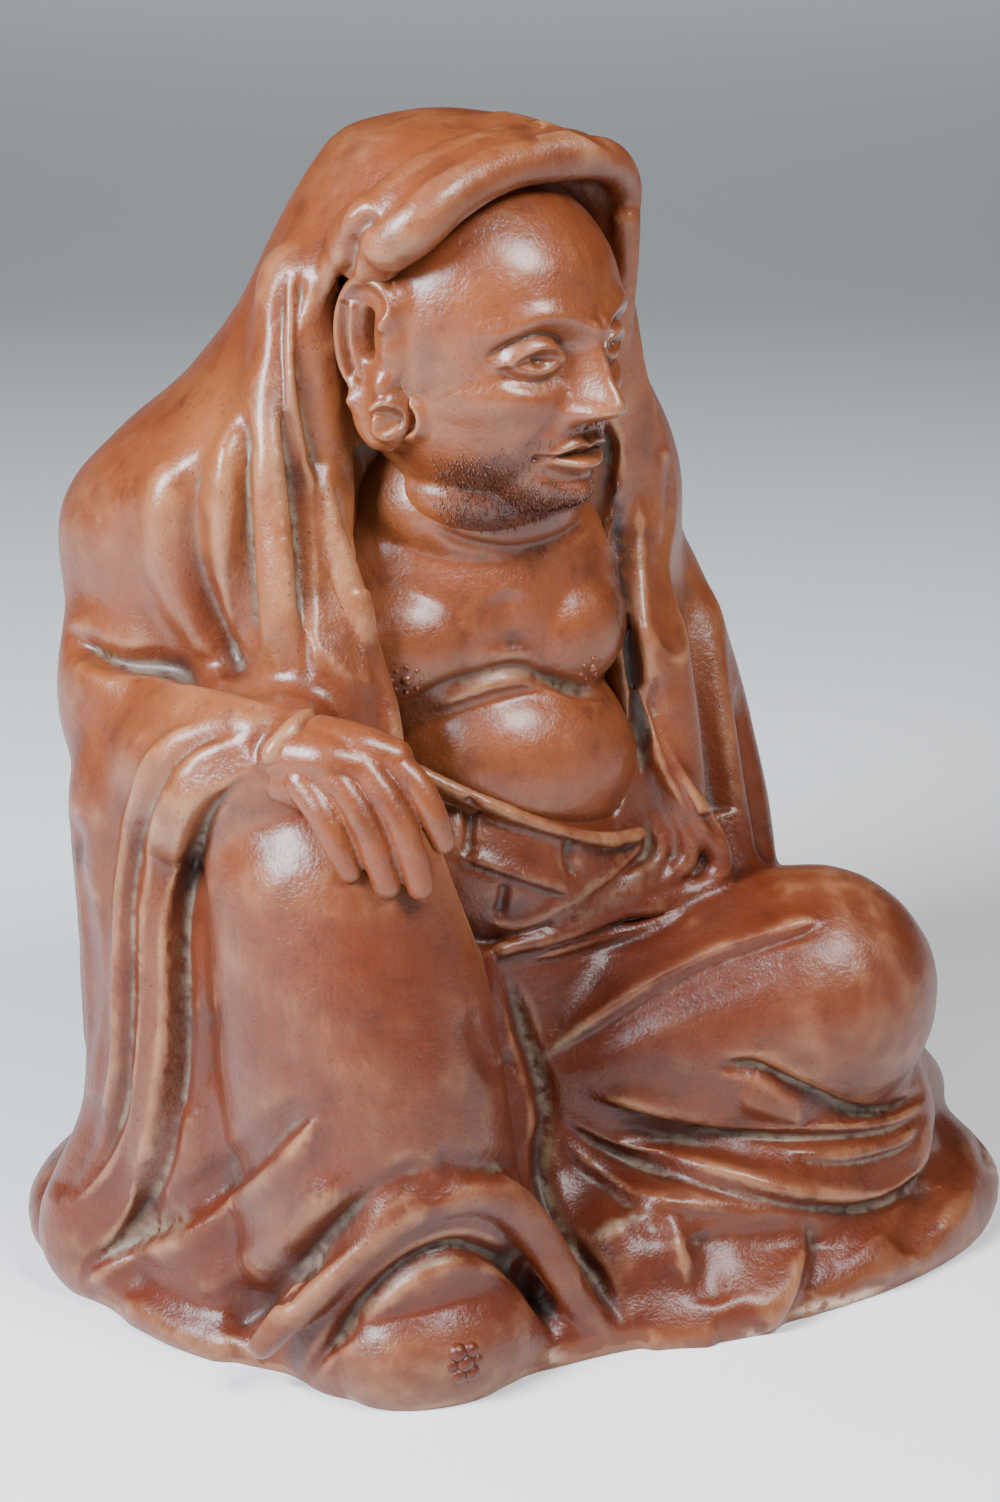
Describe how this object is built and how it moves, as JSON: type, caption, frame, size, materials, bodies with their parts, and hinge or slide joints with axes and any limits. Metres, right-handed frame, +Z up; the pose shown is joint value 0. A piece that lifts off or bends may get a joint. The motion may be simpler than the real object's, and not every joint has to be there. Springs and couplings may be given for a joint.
{
  "type": "seated figure ornament",
  "caption": "Seated hooded monk in a draped robe, bare-chested with one knee raised and a hand resting on it, on a flat base, in red-brown stoneware.",
  "frame": {"origin": "middle of the figure's width and depth, on the plane that it stands on", "axes": "+Z up; the chest faces -Y; the figure's right hand and raised knee are at -X"},
  "size_m": [0.152, 0.1182, 0.1725],
  "materials": {
    "stoneware": "semi-gloss unglazed red-brown stoneware with darker and greyer hollows"
  },
  "bodies": {
    "root": {"bodhidharma_figure": "stoneware"}
  },
  "joints": []
}
